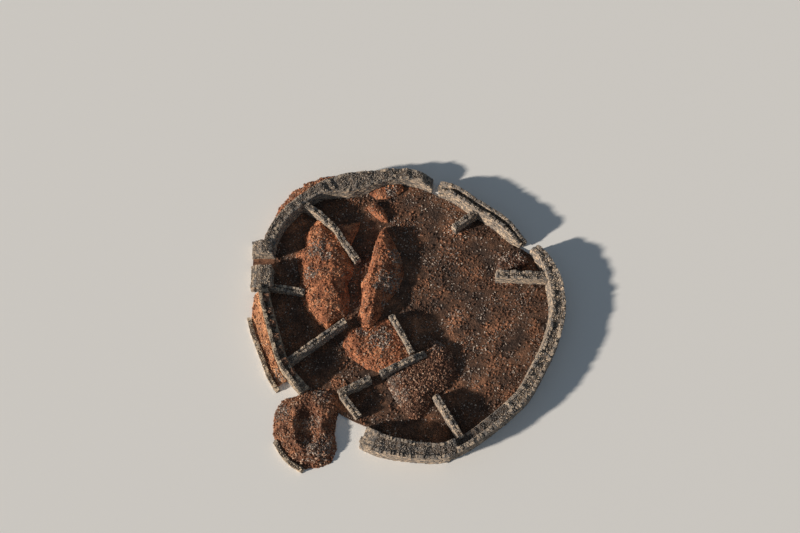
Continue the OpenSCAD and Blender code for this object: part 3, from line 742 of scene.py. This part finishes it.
# Trodden floor
# Red-brown earth and dung, trodden hard over the whole inside of the ring. It has risen in low
# swells, and stones off the walls and lumps of earth lie half sunk in it.
def lump_tree():
    """Pushes a surface in and out in soft lumps, less towards the ground and never in deeper than
    the deepest."""
    tree, given, out = tree_with(
        "lumpy_earth",
        (
            ("Heap", "Geometry", None),
            ("Lump size", "Float", 0.6),
            ("Lump height", "Float", 0.42),
            ("Ground", "Float", 0.2),
            ("Deepest", "Float", 1.0),
            ("Straight up", "Float", 0.0),
            ("Seed", "Float", 1.0),
            ("Earth", "Material", None),
        ),
    )
    place = tree.nodes.new("GeometryNodeInputPosition").outputs[0]
    noise = {
        "Vector": place,
        "W": given["Seed"],
        "Scale": number_from(tree, "DIVIDE", 1.0, given["Lump size"]),
        "Detail": 5.0,
        "Roughness": 0.65,
    }
    lumps = add(tree, "ShaderNodeTexNoise", noise, noise_dimensions="4D").outputs[0]
    level = number_from(tree, "SUBTRACT", lumps, 0.5)
    level = number_from(tree, "MAXIMUM", level, number_from(tree, "MULTIPLY", given["Deepest"], -1.0))
    height = add(tree, "ShaderNodeSeparateXYZ", {0: place}).outputs["Z"]
    over_ground = number_from(tree, "SUBTRACT", height, given["Ground"])
    amount = number_from(tree, "MULTIPLY", level, given["Lump height"])
    amount = number_from(tree, "MULTIPLY", amount, spread_from(tree, over_ground, 0.02, 0.25))
    normal = tree.nodes.new("GeometryNodeInputNormal").outputs[0]
    out_or_up = {0: given["Straight up"], 4: normal, 5: (0.0, 0.0, 1.0)}
    way = add(tree, "ShaderNodeMix", out_or_up, data_type="VECTOR").outputs[1]
    push = times(tree, way, amount)
    pushed = add(tree, "GeometryNodeSetPosition", {"Geometry": given["Heap"], "Offset": push})
    smooth = add(tree, "GeometryNodeSetShadeSmooth", {"Geometry": pushed.outputs[0]})
    earth = {"Geometry": smooth.outputs[0], "Material": given["Earth"]}
    finished = add(tree, "GeometryNodeSetMaterial", earth)
    tree.links.new(finished.outputs["Geometry"], out.inputs["Geometry"])
    return tree


lumpy_earth = lump_tree()


def merged_copy(node):
    """A copy of the node's mesh with its doubles merged and its faces outwards."""
    merged = bmesh.new()
    merged.from_mesh(nodes[node].data)
    bmesh.ops.remove_doubles(merged, verts=merged.verts, dist=0.0005)
    bmesh.ops.recalc_face_normals(merged, faces=merged.faces)
    return merged


def gridded(node, spacing):
    """The node's shape cut along a grid, so that it can swell. Its edges stay sharp."""
    merged = merged_copy(node)
    low, high = boxes[node]
    for axis in (0, 1):
        for at in np.arange(low[axis] + spacing, high[axis], spacing):
            bmesh.ops.bisect_plane(
                merged,
                geom=[*merged.verts, *merged.edges, *merged.faces],
                plane_co=Vector((at, at, 0)),
                plane_no=Vector((1 - axis, axis, 0)),
                dist=0.0001,
            )
    sharp_angle = 0.5
    for edge in merged.edges:
        edge.smooth = edge.calc_face_angle(0) < sharp_angle
    mesh = bpy.data.meshes.new(f"{node}_grid")
    merged.to_mesh(mesh)
    merged.free()
    return mesh


floor_colours = ((0.03, 0.023, 0.02), (0.08, 0.049, 0.036), (0.17, 0.09, 0.056), (0.42, 0.195, 0.108))
trodden_earth = earth_material(
    "trodden_earth", floor_colours, patch_size=3.2, grain_size=0.09, relief=0.08, crumb_size=0.2
)
clod_colours = ((0.04, 0.026, 0.02), (0.11, 0.06, 0.04), (0.28, 0.13, 0.075), (0.55, 0.26, 0.145))
clod_earth = earth_material("clod_earth", clod_colours, patch_size=3.2, grain_size=0.05, relief=0.03)
rubble_tones = ((0.075, 0.06, 0.052), (0.17, 0.13, 0.11), (0.30, 0.235, 0.195), (0.50, 0.41, 0.335))
fallen_stone = stone_material("fallen_stone", rubble_tones, stain=(0.34, 0.19, 0.12), stain_from=0.6)
for k, name in enumerate(("floor_east", "floor_north", "floor_west", "floor_south")):
    surface = grown(
        f"{name}_surface",
        gridded(name, spacing=0.35),
        lumpy_earth,
        lump_size=1.5,
        lump_height=0.55,
        ground=0.0,
        deepest=0.0,
        straight_up=1.0,
        seed=float(k),
        earth=trodden_earth,
    )
    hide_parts(name)
    clods = grown(
        f"{name}_clods",
        surface.data.copy(),
        scattered_stones,
        shapes=rough_stones,
        spacing=0.19,
        density=13.0,
        smallest=0.1,
        largest=0.36,
        sunk=0.34,
        steepest=0.9,
        patch_size=2.6,
        bare=0.85,
        seed=260 + k,
        stone=clod_earth,
    )
    loose = grown(
        f"{name}_loose_stones",
        surface.data.copy(),
        scattered_stones,
        shapes=rough_stones,
        spacing=0.14,
        density=12.0,
        smallest=0.07,
        largest=0.23,
        sunk=0.3,
        steepest=0.9,
        patch_size=2.2,
        bare=0.9,
        seed=240 + k,
        stone=fallen_stone,
    )
    for piece, slot in ((surface, "packed_earth"), (clods, "packed_earth"), (loose, "fallen_stone")):
        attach(piece, "root")


# Mounds of earth
# Red-brown earth from fallen walls and old dung, washed into soft heaps, with clods and stones still
# in it. In some spots the rubble of a wall lies open.
def even_mesh(node, size):
    """The node's shape as an even mesh of squares of this size."""
    merged = merged_copy(node)
    mesh = bpy.data.meshes.new(f"{node}_even")
    merged.to_mesh(mesh)
    merged.free()
    copy = bpy.data.objects.new(mesh.name, mesh)
    scene.collection.objects.link(copy)
    remesh = copy.modifiers.new("even", "REMESH")
    remesh.mode, remesh.voxel_size = "VOXEL", size
    bpy.context.view_layer.update()
    evaluated = copy.evaluated_get(bpy.context.evaluated_depsgraph_get())
    even = bpy.data.meshes.new_from_object(evaluated)
    bpy.data.objects.remove(copy)
    return even


def heap_up(node, seed, earth, stone, bare, largest=0.28, lump_height=0.42, ground=0.2, spots=()):
    """Replaces a heap's node by its lumpy surface, with stones and clods strewn over it. Rubble lies
    thick in each spot, which is (x, y, reach)."""
    surface = grown(
        f"{node}_surface",
        even_mesh(node, size=0.13),
        lumpy_earth,
        lump_height=lump_height,
        ground=ground,
        seed=float(seed),
        earth=earth,
    )
    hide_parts(node)

    def strewn(name, **values):
        over = surface.data.copy()
        return grown(f"{node}_{name}", over, scattered_stones, shapes=rough_stones, **values)

    stones = strewn(
        "stones",
        spacing=0.15,
        density=60.0,
        smallest=0.07,
        largest=largest,
        sunk=0.3,
        steepest=0.35,
        bare=bare,
        seed=seed,
        stone=stone,
    )
    clods = strewn(
        "clods",
        spacing=0.17,
        density=24.0,
        smallest=0.1,
        largest=0.34,
        sunk=0.32,
        steepest=0.3,
        patch_size=1.2,
        bare=0.7,
        seed=seed + 50,
        stone=earth,
    )
    fallen = [
        strewn(
            f"rubble_{k + 1}",
            spacing=0.13,
            density=120.0,
            smallest=0.09,
            largest=0.26,
            sunk=0.2,
            steepest=0.35,
            patch_size=0.7,
            strewn=0.0,
            spot=(x, y, 0.0),
            spot_size=reach,
            seed=seed + 31 * k,
            stone=fallen_stone,
        )
        for k, (x, y, reach) in enumerate(spots)
    ]
    for piece in (surface, stones, clods, *fallen):
        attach(piece, "root")


heap_colours = ((0.095, 0.037, 0.023), (0.30, 0.115, 0.06), (0.56, 0.225, 0.112), (0.78, 0.39, 0.21))
heap_earth = earth_material("heap_earth", heap_colours, patch_size=1.1, grain_size=0.07, relief=0.09)
bank_colours = ((0.15, 0.062, 0.036), (0.36, 0.155, 0.08), (0.58, 0.28, 0.14), (0.78, 0.44, 0.25))
bank_earth = earth_material("bank_earth", bank_colours, patch_size=1.4, grain_size=0.07, relief=0.07)
# each mound inside the ring with its spots of rubble
heaps = {
    "west_mound": ((-10.9, 7.7, 1.3), (-11.6, 4.5, 0.8), (-9.8, 6.4, 0.7)),
    "west_mound_spur": (),
    "middle_ridge": ((-2.6, 3.4, 1.7), (-1.9, 6.6, 1.1), (-2.9, 0.6, 0.9)),
    "earth_platform": ((-3.5, -3.1, 1.6), (-5.6, -2.3, 0.7)),
    "north_heaps": ((-2.5, 15.0, 0.9),),
}
for k, (name, spots) in enumerate(heaps.items()):
    heap_up(
        name,
        seed=200 + k,
        earth=heap_earth,
        stone=stained_stone,
        bare=0.85,
        largest=0.24,
        spots=spots,
    )
heap_up(
    "west_bank",
    seed=210,
    earth=bank_earth,
    stone=stained_stone,
    bare=0.9,
    largest=0.22,
    lump_height=0.2,
    ground=0.0,
    spots=((-14.6, -7.2, 0.9),),
)

# Fallen stone
# Rubble where a wall has come down: against the northwest wall, in the southwest breach, against
# the cross wall and beside the northeast break. Dust and earth fill it from below.
rubble_colours = ((0.045, 0.027, 0.02), (0.12, 0.06, 0.04), (0.24, 0.115, 0.07))
rubble_earth = earth_material("rubble_earth", rubble_colours, patch_size=0.9, grain_size=0.07, relief=0.07)
# darker than the heap earth of the mounds, as painted shade of the rubble in the breach
breach_shade_colours = ((0.055, 0.029, 0.02), (0.17, 0.075, 0.045), (0.35, 0.155, 0.083), (0.55, 0.27, 0.15))
breach_earth = earth_material("breach_earth", breach_shade_colours, patch_size=1.6, grain_size=0.07, relief=0.08)
heap_up(
    "northwest_talus",
    seed=220,
    earth=heap_earth,
    stone=stained_stone,
    bare=0.5,
    largest=0.3,
    lump_height=0.16,
    ground=0.0,
)
heap_up(
    "breach_rubble",
    seed=221,
    earth=breach_earth,
    stone=stained_stone,
    bare=0.6,
    largest=0.32,
    lump_height=0.36,
    ground=0.0,
    spots=((-10.0, -15.2, 1.9), (-14.3, -11.4, 1.1), (-11.0, -12.6, 1.2), (-9.9, -9.4, 1.1)),
)
heap_up(
    "south_mound",
    seed=222,
    earth=rubble_earth,
    stone=stained_stone,
    bare=0.3,
    spots=((-2.1, -7.5, 1.5), (-1.8, -9.7, 1.5), (2.9, -3.8, 1.0)),
)
heap_up("east_heap", seed=223, earth=rubble_earth, stone=fallen_stone, bare=0.2)

# the shapes that all the stones were copied from are no pieces of the ruin
for shapes in (squared_stones, rough_stones):
    for shape in list(shapes.objects):
        bpy.data.objects.remove(shape)
    bpy.data.collections.remove(shapes)

# Ground and light
# A plain pale floor, a lamp low in the west that lights the faces turned to it, and a soft pale
# sky that fills the shadows. What lies beyond the floor is as pale as the floor.
reach = 400.0
corners = [(-reach, -reach, 0), (reach, -reach, 0), (reach, reach, 0), (-reach, reach, 0)]
ground = bpy.data.meshes.new("ground")
ground.from_pydata(corners, [], [(0, 1, 2, 3)])
ground = bpy.data.objects.new("ground", ground)
scene.collection.objects.link(ground)
pale = bpy.data.materials.new("pale_ground")
pale.use_nodes = True
pale.node_tree.nodes["Principled BSDF"].inputs["Base Color"].default_value = (0.78, 0.77, 0.75, 1)
pale.node_tree.nodes["Principled BSDF"].inputs["Roughness"].default_value = 0.95
ground.data.materials.append(pale)

lamp = bpy.data.objects.new("low_lamp", bpy.data.lights.new("low_lamp", "SUN"))
scene.collection.objects.link(lamp)
lamp.data.energy, lamp.data.angle = 5.4, 0.06
lamp.data.color = (1.0, 0.91, 0.80)
lamp.rotation_euler = Vector((0.84, 0.30, -0.34)).to_track_quat("-Z", "Y").to_euler()

world = bpy.data.worlds.new("sky")
scene.world = world
world.use_nodes = True
sky = world.node_tree
fill = sky.nodes["Background"]
fill.inputs["Color"].default_value = (0.66, 0.82, 1.0, 1)
fill.inputs["Strength"].default_value = 0.2
backdrop = add(sky, "ShaderNodeBackground", {"Color": (0.61, 0.584, 0.546, 1), "Strength": 1.0})
ray = sky.nodes.new("ShaderNodeLightPath").outputs
seen = number_from(sky, "ADD", ray["Is Camera Ray"], ray["Is Glossy Ray"])
seen = number_from(sky, "MAXIMUM", seen, ray["Is Transmission Ray"])
shown = {0: seen, 1: fill.outputs[0], 2: backdrop.outputs[0]}
shown = add(sky, "ShaderNodeMixShader", shown).outputs[0]
sky.links.new(shown, sky.nodes["World Output"].inputs["Surface"])
scene.view_settings.view_transform = "Standard"
